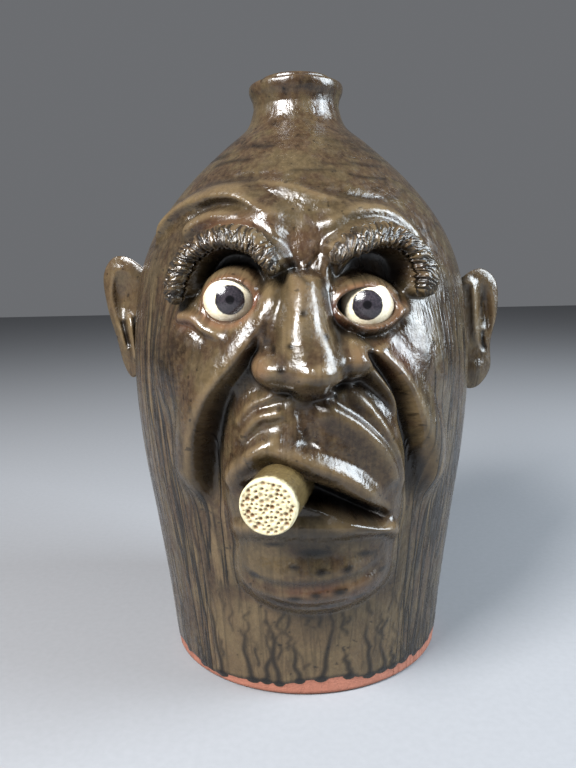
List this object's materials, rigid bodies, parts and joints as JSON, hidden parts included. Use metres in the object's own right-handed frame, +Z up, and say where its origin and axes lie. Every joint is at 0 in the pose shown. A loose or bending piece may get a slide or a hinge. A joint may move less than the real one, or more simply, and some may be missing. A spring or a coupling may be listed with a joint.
{
  "type": "face jug",
  "caption": "Tall hollow stoneware jug with a scowling face modelled on its wall, ball eyes, ears, a short cigar in the mouth, a ringed neck and a strap handle behind.",
  "frame": {"origin": "centre of the flat underside, on the axis the jug was thrown about", "axes": "+Z up through the neck, the face looks along -Y, the jug's own left is +X"},
  "size_m": [0.2054, 0.2056, 0.29],
  "materials": {
    "ash_glaze": "glossy brown-olive ash glaze with dark runs, bare red clay at the foot",
    "white_glaze": "glossy cream glaze with a dark painted iris",
    "pale_clay": "pale matt end pitted like ash, olive glaze on the barrel"
  },
  "bodies": {
    "root": {"jug": "ash_glaze", "eye_left": "white_glaze", "eye_right": "white_glaze", "cigar": "pale_clay"}
  },
  "joints": []
}
